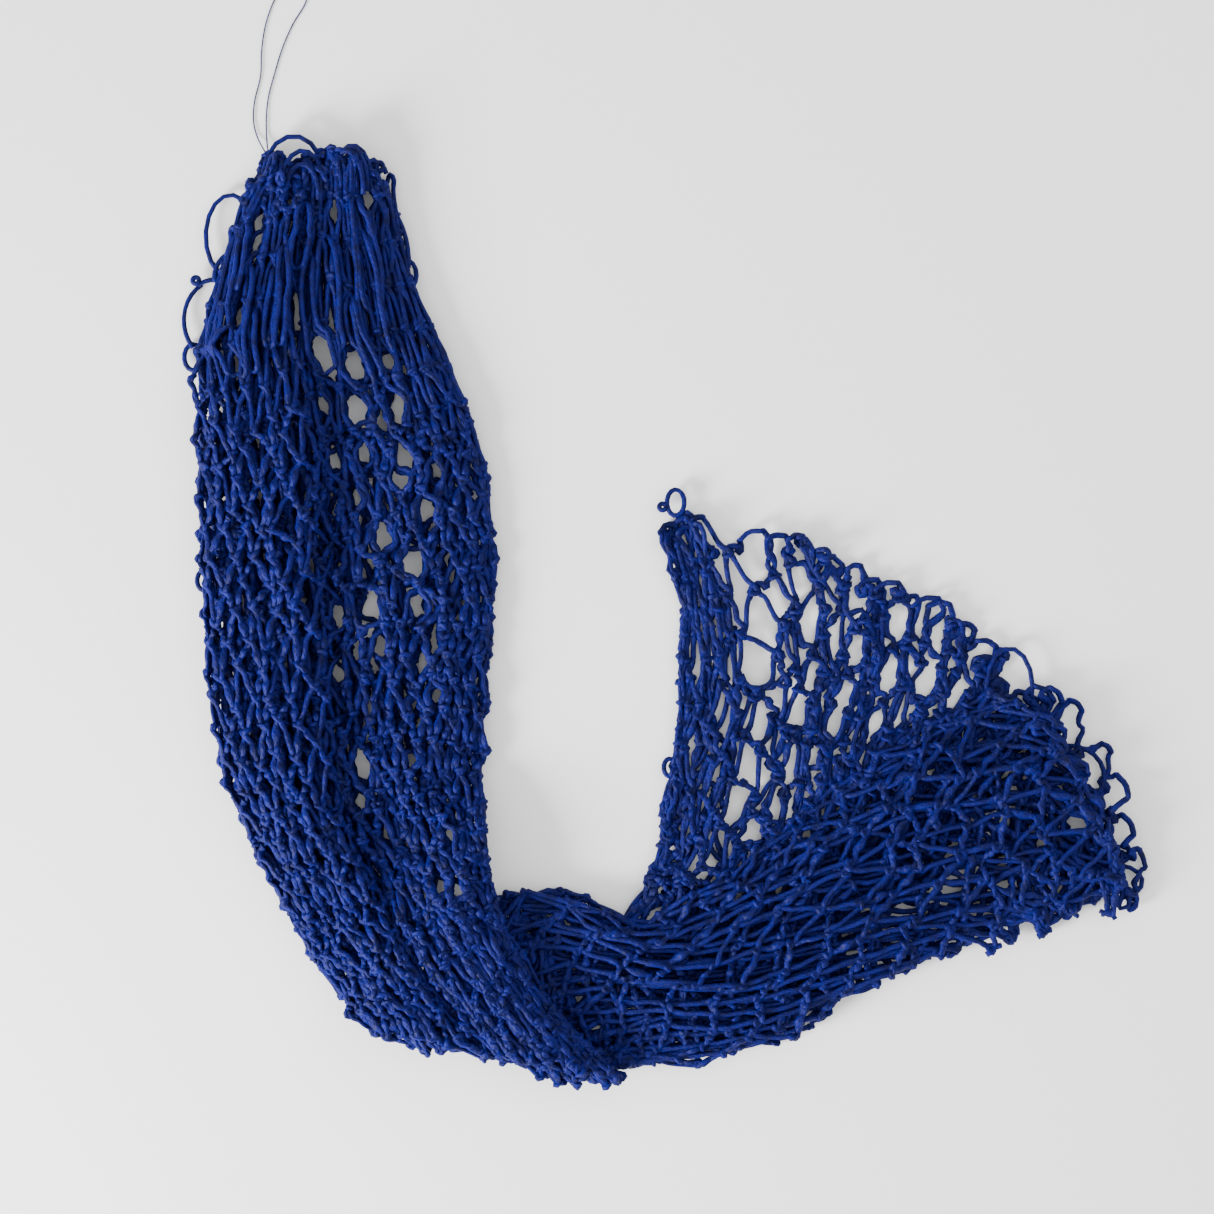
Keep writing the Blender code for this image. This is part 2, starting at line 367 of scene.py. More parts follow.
def fan_lie(line, part):
    """The line, share and level in the fan of this part of the net's width."""
    share, level, layer = pleat_at(fan_table, part)
    in_pile = np.clip(layer - 1, 0, 1)
    pile_left = between(PILE_EDGE, line)
    tapered = 1 - TAPER * ease(TAPER_FROM, ROWS, line) * (1 - np.clip(layer, 0, 1))
    veil_share = rope_share(line, share) * tapered
    pile_place = pile_left + share * (1 - pile_left)
    place = mix(veil_share, pile_place, in_pile)
    bunched = np.minimum(line, PILE_END) + np.maximum(line - PILE_END, 0) * BUNCHING
    return mix(line, bunched, in_pile), place, level, in_pile


# The lines over which the net goes from one set of pleats to the next, and over
# which it turns under at the fold, where its lower layers lie further back.
UNDER_LINES = (32, 36)
SPREAD_LINES = (38, 46)
TURN_LINES = (31, 33)
SET_BACK_LINES = (30.5, 33.5)
SET_BACK = 0.018
# The fan's left edge is pulled taut, and its slack is left at its root.
ROOT_LINE = 43
ROOT_SLACK = 0.12
EDGE_PULL = 0.38
PULLED_SHARE = 0.28


def net_place(line, part):
    """Where the point of the net at this line of knots and part of its width lies."""
    line, part = np.broadcast_arrays(np.asarray(line, float), np.asarray(part, float))
    own_line, line = line, between(RIB_OF_LINE, line)
    q_up, z_up, _ = pleat_at(upper_table, part)
    q_swag, z_swag, _ = pleat_at(swag_table, part)
    fan_line, q_fan, z_fan, in_pile = fan_lie(line, part)
    under, opening = ease(*UNDER_LINES, line), ease(*SPREAD_LINES, line)
    q = mix(mix(q_up, q_swag, under), q_fan, opening)
    level = mix(mix(1 - z_up, z_swag, under), z_fan, opening)
    line = mix(mix(line, fan_line, opening), own_line, opening * (1 - in_pile))
    pull = 1 + EDGE_PULL - EDGE_PULL * ease(0.0, PULLED_SHARE, q)
    taut = np.maximum(ROWS - (ROWS - line) * pull, ROOT_LINE + (line - ROOT_LINE) * ROOT_SLACK)
    line = np.where(line > ROOT_LINE, taut, line)
    upper_xy = lie(UPPER_RIBS, np.minimum(line, FOLD_LINE), q)
    lower_xy = lie(LOWER_RIBS, np.maximum(line, FOLD_LINE), q)
    turned = ease(*TURN_LINES, line)
    xy = np.where((line < FOLD_LINE)[..., None], upper_xy, lower_xy)
    base = underside(upper_xy)
    z_over = height_in(base, upper_thickness(np.minimum(line, FOLD_LINE), q), z_up)
    z_under = height_in(0.0, lower_thickness(np.maximum(line, FOLD_LINE), q), level)
    z = mix(z_over, z_under, turned)
    inset = (1 - z_up) * SET_BACK * (1 - np.abs(2 * ease(*SET_BACK_LINES, line) - 1))
    at_fold = np.full_like(line, FOLD_LINE)
    back = lie(UPPER_RIBS, at_fold - 2, q) - lie(UPPER_RIBS, at_fold, q)
    back /= np.linalg.norm(back, axis=-1, keepdims=True)
    xy = xy + back * inset[..., None]
    return np.concatenate((xy, z[..., None]), -1)


random = np.random.default_rng(20)
COLUMNS = MESHES + 1
line_numbers = np.arange(ROWS + 1)


def slow_noise(rows_apart, columns_apart):
    """A smooth random value for each line and column, about 1 in size."""
    rows = int(ROWS / rows_apart) + 4
    across = int(COLUMNS / columns_apart) + 4
    grid = random.normal(size=(rows, across))
    offset = random.uniform(0, 1, 2)
    y = line_numbers / rows_apart + offset[0]
    x = np.arange(COLUMNS) / columns_apart + offset[1]
    i, j = y.astype(int), x.astype(int)
    v, u = ease(0, 1, y - i)[:, None], ease(0, 1, x - j)[None, :]
    a, b = grid[i][:, j], grid[i][:, j + 1]
    c, d = grid[i + 1][:, j], grid[i + 1][:, j + 1]
    return (a * (1 - u) + b * u) * (1 - v) + (c * (1 - u) + d * u) * v


# Openings where every layer parts and the ground shows: the long slit in the
# head, rows of slits down the flat panel, and the open meshes of the fan.
# Each is an ellipse on the ground plan: (centre, direction, half length, half width).
openings = []


def add_opening(plan, line, share, length, slimness):
    """An opening that runs along the net, `length` lines long."""
    start, end = plan(line - length / 2, share), plan(line + length / 2, share)
    half = np.linalg.norm(end - start) / 2
    openings.append(((start + end) / 2, (end - start) / (2 * half), half, half * slimness))


def over_plan(line, share):
    return lie(UPPER_RIBS, np.array(line), np.array(share))


def fan_plan(line, share):
    line = np.array(line)
    return lie(LOWER_RIBS, line, rope_share(line, np.array(share)))


# The slit in the head, and the small holes beside it: (line, share).
HEAD_SLIT = (3.9, 0.42)
HEAD_HOLES = (
    (1.3, 0.34), (1.9, 0.36), (1.8, 0.17), (2.3, 0.19), (1.5, 0.62), (1.05, 0.84), (1.4, 0.90),
)
# The flat panel's slits run down it in columns, and grow shorter and rarer.
PANEL_SHARES = (0.49, 0.575, 0.66, 0.745, 0.82)
PANEL_LINES = (4.6, 25)
ROLL_SHARES = (0.10, 0.17)
ROLL_LINES = (4.2, 5.4, 7.0)
# The open layer's meshes stand one above the other from the rim down to the pile.
# Their lengths, and the twine between them, are in metres.
VEIL_COLUMNS = 8
VEIL_SHARE = 0.085
VEIL_PITCH = 0.066
VEIL_LINES = (46, 56.6)
VEIL_MESH = (0.026, 0.046)
VEIL_TWINE = (0.004, 0.010)
# Holes along the pile's rim, and below its right corner: (line, share).
RIM_LINE = 55.8
RIM_SHARES = (0.64, 0.72, 0.79, 0.86, 0.93)
CORNER_HOLES = ((46.3, 0.955), (48.0, 0.945), (50.8, 0.90), (51.5, 0.86), (53.3, 0.93))

add_opening(over_plan, *HEAD_SLIT, 1.35, 0.17)
for share in PANEL_SHARES:
    line = PANEL_LINES[0] + random.uniform(0, 1.5)
    while line < PANEL_LINES[1]:
        length = mix(1.25, 0.95, ease(9, 18, line)) * random.uniform(0.5, 1.25)
        length *= mix(1.0, 0.7, ease(0.7, 0.82, share))
        aside = random.normal() * 0.02
        add_opening(over_plan, line, share + aside, length, random.uniform(0.48, 0.72))
        line += random.uniform(1.3, 2.3) * mix(1.0, 1.35, ease(12, 22, line))
for share in ROLL_SHARES:
    for line in ROLL_LINES:
        add_opening(over_plan, line + random.normal() * 0.3, share, 0.65, 0.45)
for line, share in HEAD_HOLES:
    add_opening(over_plan, line, share, random.uniform(0.35, 0.5), 0.7)
for column in range(VEIL_COLUMNS):
    share = VEIL_SHARE + VEIL_PITCH * column
    line_gap = np.linalg.norm(fan_plan(56.0, share) - fan_plan(54.0, share)) / 2
    line = VEIL_LINES[1] - random.uniform(0, 0.012) / line_gap
    while line > VEIL_LINES[0] and rope_share(line, share) < between(PILE_EDGE, line):
        length = random.uniform(*VEIL_MESH) / line_gap * mix(0.45, 1, ease(48, 53, line))
        slimness = random.uniform(0.34, 0.54)
        aside = random.normal() * 0.006
        add_opening(fan_plan, line - length / 2, share + aside, length, slimness)
        line -= length + random.uniform(*VEIL_TWINE) / line_gap
for share in RIM_SHARES:
    line = RIM_LINE + random.normal() * 0.1
    add_opening(fan_plan, line, share, 1.5, random.uniform(0.50, 0.70))
for line, share in CORNER_HOLES:
    add_opening(fan_plan, line, share, random.uniform(0.9, 1.4), 0.45)
centres = np.array([opening[0] for opening in openings])
along = np.array([opening[1] for opening in openings])
aslant = np.stack((-along[:, 1], along[:, 0]), -1)
halves = np.array([opening[2:] for opening in openings])
LEAST_AWAY = 0.05  # from an opening's middle, so that no knot is thrown far out


def in_ellipses(places, margin):
    """These places, each seen from each opening, in half lengths and half widths."""
    away = places[..., None, :] - centres
    first = (away * along).sum(-1) / (halves[:, 0] + margin)
    second = (away * aslant).sum(-1) / (halves[:, 1] + margin)
    return first, second


def parted(places, margin):
    """These places, each moved out of any opening that it is in."""
    first, second = in_ellipses(places[..., :2], margin)
    far = np.hypot(first, second)
    inside = far < 1
    grow = np.where(inside, 1 / np.maximum(far, LEAST_AWAY) - 1, 0)
    first, second = first * grow * (halves[:, 0] + margin), second * grow * (halves[:, 1] + margin)
    step = first[..., None] * along + second[..., None] * aslant
    moved = places.copy()
    moved[..., :2] += step.sum(-2) / np.maximum(inside.sum(-1), 1)[..., None]
    return moved


# Knots stand in columns, half a mesh over on every second line.
COLUMN_SCATTER = 0.10
odd = (line_numbers % 2)[:, None]
knot_column = np.arange(COLUMNS)[None, :] + 0.25 + 0.5 * odd
knot_column = knot_column + random.normal(size=(ROWS + 1, COLUMNS)) * COLUMN_SCATTER
knot_part = knot_column / (MESHES + 1)
# The first lines lie close together at the head's top, and the last two at the rim.
EVEN_LINES = (
    (0, 0), (1, 0.5), (2, 1.1), (3, 2.4), (4, 3.8), (5, 5.1), (7, 7), (54, 54), (55, 55.2),
    (56, 56.3), (57, 57),
)
even_lines = between(EVEN_LINES, line_numbers)
in_head = 1 - ease(5, 9, line_numbers)[:, None]
# Past the fold the net is loosely heaped, but for the fan's open layer.
PAST_FOLD_LINES = (31, 35)
VEIL_OPENING_LINES = (42, 46)
past_fold = ease(*PAST_FOLD_LINES, line_numbers)[:, None]
rim_share, _, fan_layer = pleat_at(fan_table, knot_part)
in_veil = 1 - np.minimum(np.abs(fan_layer - 1), 1)
heaped = past_fold * (1 - in_veil * ease(*VEIL_OPENING_LINES, line_numbers)[:, None])
# The lines wander, in the head most of all, and each knot strays from its line.
knot_line = even_lines[:, None] + slow_noise(8, 1.4) * 0.30 + slow_noise(60, 3.5) * 0.55
knot_line += slow_noise(3, 2.2) * 0.8 * in_head * (line_numbers > 0)[:, None]
knot_line += slow_noise(2.5, 1.6) * 0.35 * past_fold
knot_line += random.normal(size=knot_part.shape) * (0.10 + 0.20 * past_fold + 0.22 * heaped)
knot_line[0] = np.abs(random.normal(size=COLUMNS)) * 0.5
knot_line[-1] = ROWS - np.abs(random.normal(size=COLUMNS)) * 0.15


def dip(share, centre, width):
    """A smooth dip, deepest at this share of the width."""
    return np.exp(-(((share - centre) / width) ** 2))


# The head's top dips behind its two arched loops, and the rim dips behind its one.
head_share = pleat_at(upper_table, knot_part)[0]
knot_line += dip(head_share, 0.34, 0.12) * (1 - ease(0.5, 3.4, knot_line))
knot_line -= 1.6 * dip(rim_share, 0.485, 0.045) * ease(53.0, 57.0, knot_line)
knot_line = np.clip(knot_line, 0, ROWS)
knots = net_place(knot_line, knot_part)
# Before the fold and past it, in metres along x, y and z.
NEAT_SCATTER = np.array((0.0018, 0.0014, 0.0020))
LOOSE_SCATTER = np.array((0.0044, 0.0044, 0.0020))
knots += random.normal(size=knots.shape) * mix(NEAT_SCATTER, LOOSE_SCATTER, past_fold[..., None])

# How far knots are turned from the way the net lies, in radians about their axes.
NEAT_TILT = np.array((0.28, 0.32, 0.22))
HEAPED_TILT = np.array((0.30, 0.45, 0.60))
# The way the net lies is read this far to each side of a knot.
PART_STEP = 0.006
LINE_STEP = 0.5


def knot_frames(line, part):
    """The directions across, up the net and out of it, at each knot."""
    across = net_place(line, part + PART_STEP) - net_place(line, part - PART_STEP)
    line_above = np.clip(line - LINE_STEP, 0, ROWS)
    line_below = np.clip(line + LINE_STEP, 0, ROWS)
    up = net_place(line_above, part) - net_place(line_below, part)
    up /= np.linalg.norm(up, axis=-1, keepdims=True)
    across -= up * (across * up).sum(-1, keepdims=True)
    across /= np.linalg.norm(across, axis=-1, keepdims=True)
    frame_axes = np.stack((across, up, np.cross(across, up)), -1)
    tilt = random.normal(size=line.shape + (3,)) * mix(NEAT_TILT, HEAPED_TILT, heaped[..., None])
    cx, cy, cz = np.cos(tilt[..., 0]), np.cos(tilt[..., 1]), np.cos(tilt[..., 2])
    sx, sy, sz = np.sin(tilt[..., 0]), np.sin(tilt[..., 1]), np.sin(tilt[..., 2])
    zero, one = np.zeros_like(cx), np.ones_like(cx)

    def matrix(rows):
        return np.stack([np.stack(row, -1) for row in rows], -2)

    about_x = matrix(((one, zero, zero), (zero, cx, -sx), (zero, sx, cx)))
    about_y = matrix(((cy, zero, sy), (zero, one, zero), (-sy, zero, cy)))
    about_z = matrix(((cz, -sz, zero), (sz, cz, zero), (zero, zero, one)))
    return frame_axes @ about_z @ about_y @ about_x


axes = knot_frames(knot_line, knot_part)

# No bar is longer than its twine: knots that stand too far apart draw together.
DRAWING_PASSES = 40
for _ in range(DRAWING_PASSES):
    push = np.zeros_like(knots)
    weight = np.full(knots.shape[:2] + (1,), 1e-9)
    for shift in (0, 1):
        for r in range(ROWS):
            offset = shift - 1 if r % 2 == 0 else shift
            a = slice(max(0, -offset), COLUMNS - max(0, offset))
            b = slice(max(0, offset), COLUMNS + min(0, offset))
            apart = knots[r + 1, b] - knots[r, a]
            far = np.linalg.norm(apart, axis=-1, keepdims=True)
            excess = np.maximum(far - BAR, 0)
            step = apart / np.maximum(far, 1e-9) * excess * 0.5
            push[r, a] += step
            push[r + 1, b] -= step
            weight[r, a] += excess > 0
            weight[r + 1, b] += excess > 0
    knots = parted(knots + push / np.maximum(weight, 1), TWINE)

# A sheet bend, in diameters of the twine: across, up, out.
BEND = np.array((
    (-0.55, -2.0, 0.0), (-0.40, -1.45, -0.65), (-0.05, -0.55, -0.1), (0.2, 0.05, 1.15), (0.85, 0.5, 0.95),
    (1.22, 0.95, 0.1), (0.8, 1.25, -0.8), (-0.8, 1.15, -0.8), (-1.22, 0.75, 0.1),
    (-0.8, 0.25, 0.9), (0.05, -0.3, 0.6), (0.50, -0.85, 0.65), (0.60, -2.0, 0.0),
))
# The bight that a sheet bend is tied round.
BIGHT = np.array((
    (-0.62, 2.3, 0.0), (-0.52, 1.2, 0.0), (-0.52, -0.3, 0.0), (0.0, -1.1, 0.1), (0.52, -0.3, 0.0),
    (0.52, 1.2, 0.0), (0.62, 2.3, 0.0),
))
# A loop of the first row, over the head.
TOP_LOOP = np.array((
    (-0.9, -2.4, 0.0), (-1.1, -1.0, 0.0), (-0.9, 0.5, 0.1), (0.0, 1.2, 0.2), (0.9, 0.5, 0.1),
    (1.1, -1.0, 0.0), (0.9, -2.4, 0.0),
))
# A scallop of the last row, which nothing is tied to.
END_LOOP = np.array((
    (-2.9, 2.4, 0.0), (-2.4, 1.0, 0.1), (-2.1, 0.2, 0.8), (-2.5, -0.1, 0.0), (-1.9, -0.2, -0.8),
    (-1.4, -0.3, 0.2), (-0.5, -0.8, 0.0), (0.5, -0.8, 0.0), (1.4, -0.3, 0.2), (1.9, -0.2, -0.8),
    (2.5, -0.1, 0.0), (2.1, 0.2, 0.8), (2.4, 1.0, 0.1), (2.9, 2.4, 0.0),
))
# Knots are tight in the head and where the net is heaped, and open in the fan.
HEAD_KNOT = 0.72
BAND_KNOT = 0.86
FAN_KNOT = 1.15
HEAPED_KNOT = 0.72
BELOW_HEAD_LINES = (4, 9)
knot_size = random.uniform(0.88, 1.08, size=(ROWS + 1, COLUMNS))
line_size = mix(HEAD_KNOT, BAND_KNOT, ease(*BELOW_HEAD_LINES, line_numbers))
knot_size *= mix(line_size, FAN_KNOT, ease(43, 48, line_numbers))[:, None]
knot_size *= mix(1.0, HEAPED_KNOT, heaped)
knot_size[-1] *= random.uniform(0.5, 1.15, COLUMNS)


def placed(shape, line_number, column):
    """This shape at a knot, turned the way the knot is."""
    local = shape * TWINE * knot_size[line_number, column]
    return knots[line_number, column] + local @ axes[line_number, column].T


def unit(vector):
    return vector / np.linalg.norm(vector)


END_REACH = 1.9  # from a knot's middle to its two ends, in diameters of the twine
END_ASIDE = 0.3


def aimed(shape, line_number, column, first_to, last_to):
    """A knot whose two ends point at the knots that they run to."""
    points = placed(shape, line_number, column)
    centre, axis = knots[line_number, column], axes[line_number, column]
    for end, target, side in ((0, first_to, -END_ASIDE), (-1, last_to, END_ASIDE)):
        if target is not None and shape is not END_LOOP:
            way = unit(target - centre)
            points[end] = centre + way * TWINE * END_REACH + axis[:, 0] * side * TWINE
    return points


OPENING_MARGIN = TWINE * 0.45


def around(points):
    """A bar's points, moved round any opening that the bar would cross."""
    first, second = in_ellipses(points[:, :2], OPENING_MARGIN)
    for k in np.flatnonzero((np.hypot(first, second) < 1).any(0)):
        seen = np.stack((first[:, k], second[:, k]), -1)
        chord = seen[-1] - seen[0]
        near = seen[0] + chord * np.clip(-(seen[0] @ chord) / (chord @ chord + 1e-9), 0, 1)
        side = near if near @ near > 1e-4 else np.array((-chord[1], chord[0]))
        side = side / (np.linalg.norm(side) + 1e-9)
        along_side = seen @ side
        room = np.maximum(1 - (seen**2).sum(1), 0)
        step = np.sqrt(along_side**2 + room) - along_side
        step = np.where(room > 0, step, 0)[:, None] * side * (halves[k] + OPENING_MARGIN)
        points[:, :2] += step[:, :1] * along[k] + step[:, 1:] * aslant[k]
        first, second = in_ellipses(points[:, :2], OPENING_MARGIN)
    points[1:-1] = (points[:-2] + 2 * points[1:-1] + points[2:]) / 4
    return points


BAR_AT = np.array((0.2, 0.4, 0.6, 0.8))[:, None]  # where its four points are along a bar
FULL_BOW_ROOM = 0.010  # the slack at which a bar bows all the way up
HANDLE = 0.3  # the share of a bar over which it turns into the way to the next knot


def bar(before, after, room, lean, bow, slack_sag):
    """Four points of a slack bar, from where it leaves one knot to where it meets the next.
    It bows up and over, most near the knot that hangs from it."""
    first, last = before[-1], after[0]
    chord = last - first
    far = np.linalg.norm(chord)
    straight = chord / far
    way_out = unit(unit(before[-1] - before[-2]) + straight * 2)
    way_in = unit(unit(after[1] - after[0]) + straight * 2)
    b = first + way_out * HANDLE * far
    c = last - way_in * HANDLE * far
    t = BAR_AT
    curve = first * (1 - t) ** 3 + 3 * b * t * (1 - t) ** 2 + 3 * c * t**2 * (1 - t) + last * t**3
    sag = np.cross(straight, random.normal(size=3) * (0.5, 0.5, 1.0))
    sag = sag * math.sqrt(room * far) * slack_sag
    sag[2] += bow * min(room / FULL_BOW_ROOM, 1)
    return around(curve + sag * 4 * t * (1 - t) * (0.4 + 1.1 * lean * (2 * t - 1)))


# How flat the slack twine is at the four points of a bar, and in the knots.
FLAT = np.array((0.7, 1.0, 1.0, 0.8))
TIE_FLAT = 0.4
BIGHT_FLAT = 0.45
# It is flatter below the head than in it, and a little more past the fold.
FLATNESS = (0.45, 1.15)
PAST_FOLD_FLATNESS = 0.15
# How far bars bow up, in diameters, in the band and in the fan, and how far they
# sag aside where the net is neat and where it is heaped.
BOW = (1.4, 0.2)
BOW_LINES = (43, 50)
SLACK_SAG = (0.05, 0.19)
GROUND_GAP = 0.0006  # under a row's twine


def row_path(r):
    """The twine of one row, from selvedge to selvedge: its points, the side of it that faces
    out of the net at each, and how slack and flat it is there."""
    shift = r % 2
    ties, hang = [], []
    for c in range(COLUMNS):
        below = [knots[r + 1, k] if 0 <= k < COLUMNS else None for k in (c - 1 + shift, c + shift)]
        above = [knots[r, k] if 0 <= k < COLUMNS else None for k in (c - shift, c + 1 - shift)]
        ties.append(aimed(TOP_LOOP if r == 0 else BEND, r, c, *below))
        hang.append(aimed(END_LOOP if r + 1 == ROWS else BIGHT, r + 1, c, *above))
    path, out, flat = [], [], []

    def add(points, way, how_flat):
        path.append(points)
        out.append(np.broadcast_to(way, points.shape))
        flat.append(np.broadcast_to(how_flat, len(points)))

    bow = TWINE * mix(*BOW, ease(*BOW_LINES, r))
    flatness = mix(*FLATNESS, ease(*BELOW_HEAD_LINES, r))
    flatness += PAST_FOLD_FLATNESS * ease(*PAST_FOLD_LINES, r)

    def add_bar(before, after, way, room, lean, column):
        slack = np.clip((room - 0.002) / 0.008, 0.15, 1.0)
        slack_sag = mix(*SLACK_SAG, heaped[r, column])
        add(bar(before, after, room, lean, bow, slack_sag), way, FLAT * slack * flatness)

    for c in range(COLUMNS):
        add(ties[c], axes[r, c][:, 2], TIE_FLAT)
        low = c if r % 2 == 0 else c + 1
        if low >= COLUMNS:
            break
        room = max(0.0, BAR - np.linalg.norm(knots[r + 1, low] - knots[r, c]))
        add_bar(ties[c], hang[low], axes[r, c][:, 2] + axes[r + 1, low][:, 2], room, 1, c)
        add(hang[low], axes[r + 1, low][:, 2], BIGHT_FLAT)
        if c + 1 < COLUMNS:
            room = max(0.0, BAR - np.linalg.norm(knots[r + 1, low] - knots[r, c + 1]))
            way = axes[r, c + 1][:, 2] + axes[r + 1, low][:, 2]
            add_bar(hang[low], ties[c + 1], way, room, -1, c)
    path = np.concatenate(path)
    path[1:-1] = (path[:-2] + 2 * path[1:-1] + path[2:]) / 4
    path[:, 2] = np.maximum(path[:, 2], TWINE / 2 + GROUND_GAP)
    return path, np.concatenate(out), np.concatenate(flat)


SIDES = 6  # of the twine
THINNER = 0.12  # how much thinner and wider the twine is where it is flat
WIDER = 0.7
TURN_OUT = 0.35  # how readily its flat side turns to face out of the net


def tube(points, out, flat):
    """Rings of a tube along these points, flattened where the twine is slack."""
    tangent = np.gradient(points, axis=0)
    tangent /= np.linalg.norm(tangent, axis=1, keepdims=True)
    normals = np.empty_like(points)
    normal = unit(np.cross(tangent[0], (0.0, 0.3, 1.0)))
    for i, t in enumerate(tangent):
        normal = normal + TURN_OUT * out[i]
        normal = normal - t * (normal @ t)
        normal /= math.sqrt(normal @ normal)
        normals[i] = normal
    binormals = np.cross(tangent, normals)
    angle = np.arange(SIDES) * 2 * math.pi / SIDES + math.pi / SIDES
    thick = TWINE / 2 * (1.0 - THINNER * flat)[:, None, None]
    wide = TWINE / 2 * (1.0 + WIDER * flat)[:, None, None]
    ring = normals[:, None] * np.cos(angle)[None, :, None] * thick
    ring = ring + binormals[:, None] * np.sin(angle)[None, :, None] * wide
    return points[:, None] + ring


LOOSE_LOOP_FLAT = 0.1
# Loops that stand clear of the rest, as arcs of ellipses in millimetres:
# (row, x, y, half width, half length, height, from angle, to angle).
LOOSE_LOOPS = (
    (1, -341, 403, 28, 38, 14, 195, -15), (1, -332, 391, 20, 34, 20, 190, -20),
    (1, -332, 384, 15, 28, 25, 190, -10), (1, -287, 396, 18, 36, 17, 190, -10),
    (1, -285, 394, 13, 31, 22, 190, -10), (1, -284, 390, 8, 27, 25, 190, -10),
    (2, -398, 350, 23, 38, 7, 40, 240), (2, -396, 311, 17, 23, 12, 80, 190),
    (2, -414, 298, 18, 11, 9, 150, 10), (3, -413, 272, 29, 36, 6, 115, 225),
    (4, -433, 238, 8, 12, 5, 0, 380), (4, -420, 240, 12, 9, 8, 160, 20),
    (2, -430, 308, 3, 3, 9, 0, 700), (3, -239, 312, 10, 14, 8, 0, 380),
    (2, -288, 326, 53, 69, 9, 62, -5), (1, -261, 412, 3, 4, 15, 0, 700),
    (1, -266, 400, 12, 17, 13, 170, 20), (57, -3, 101, 3, 3, 8, 0, 700),
    (9, -424, 33, 6, 9, 6, 0, 380), (57, 316, -64, 21, 35, 9, 205, -25),
    (57, 9, 104, 8, 12, 8, 0, 400), (50, 4, -138, 5, 8, 6, 0, 380),
    (57, 371, -147, 32, 28, 7, 95, -60), (57, 415, -243, 23, 15, 6, 110, -120),
)


def loose_loop(x, y, half_width, half_length, height, start, end):
    """The points of one such loop, the way it faces and how flat it is."""
    turn = np.radians(np.linspace(start, end, max(10, int(abs(end - start) / 22))))
    points = np.stack(
        (x + half_width * np.cos(turn), y + half_length * np.sin(turn), np.full_like(turn, height)), 1
    )
    points[:, 2] += np.linspace(-1.5, 1.5, len(turn))
    points[:, :2] += random.normal(size=2) * 0.5
    up = np.broadcast_to((0.0, 0.0, 1.0), points.shape)
    return points / 1000, up, np.full(len(turn), LOOSE_LOOP_FLAT)


# The first rows were pulled out into long loops, which hang over the head.
LONG_LOOPS = 15
LONG_LOOP_STEPS = 26
LONG_LOOP_ROWS = (2, 3, 4)
LONG_LOOP_RISE = 0.0030  # above the rows
LONG_LOOP_FLAT = 0.25


def long_loop(number):
    """The points of one long loop, the way it faces and how flat it is."""
    share = 0.06 + 0.88 * (number + random.uniform(-0.4, 0.4)) / (LONG_LOOPS - 1)
    half = random.uniform(0.7, 1.7)
    middle = random.uniform(0.6 + half, 5.6 - half * 0.6)
    width = random.uniform(0.025, 0.06)
    turn = np.linspace(0, 2 * math.pi, LONG_LOOP_STEPS)
    behind_arches = ease(0.55, 0.45, share) * ease(0.15, 0.25, share)
    line = np.clip(middle + half * np.cos(turn), mix(0.3, 1.0, behind_arches), FULL_HEIGHT_LINE)
    across = share + width * np.sign(np.sin(turn)) * np.abs(np.sin(turn)) ** 0.6
    waver = 0.012 * np.sin(line * 2.2 + random.uniform(0, 6))
    across += waver + random.normal(size=len(turn)) * 0.002
    place = lie(UPPER_RIBS, line, across)
    top = height_in(0.0, upper_thickness(line, np.clip(across, 0, 1)), 1.0)
    rise = top + LONG_LOOP_RISE + 0.0012 * np.sin(turn)
    at_ends = ease(0.85, 1.0, np.abs(np.cos(turn)))
    at_edges = ease(0.3, 0.5, np.abs(across - 0.5))
    rise -= 0.006 * at_ends + 0.004 * at_edges
    points = parted(np.concatenate((place, rise[:, None]), 1), TWINE * 0.7)
    up = np.broadcast_to((0.0, 0.0, 1.0), points.shape)
    return points, up, np.full(len(turn), LONG_LOOP_FLAT)


# The second set of UVs: rings to a strip, strips, and how much of its room in the
# layout a face and a strip fill. The twine's two ends are small discs in it.
STRIP_RINGS = 120
STRIPS = 20
FACE_FILL = 0.98
STRIP_FILL = 0.9
END_DISC = 0.0008
LOWEST = 0.0002  # the height of the lowest twine's skin


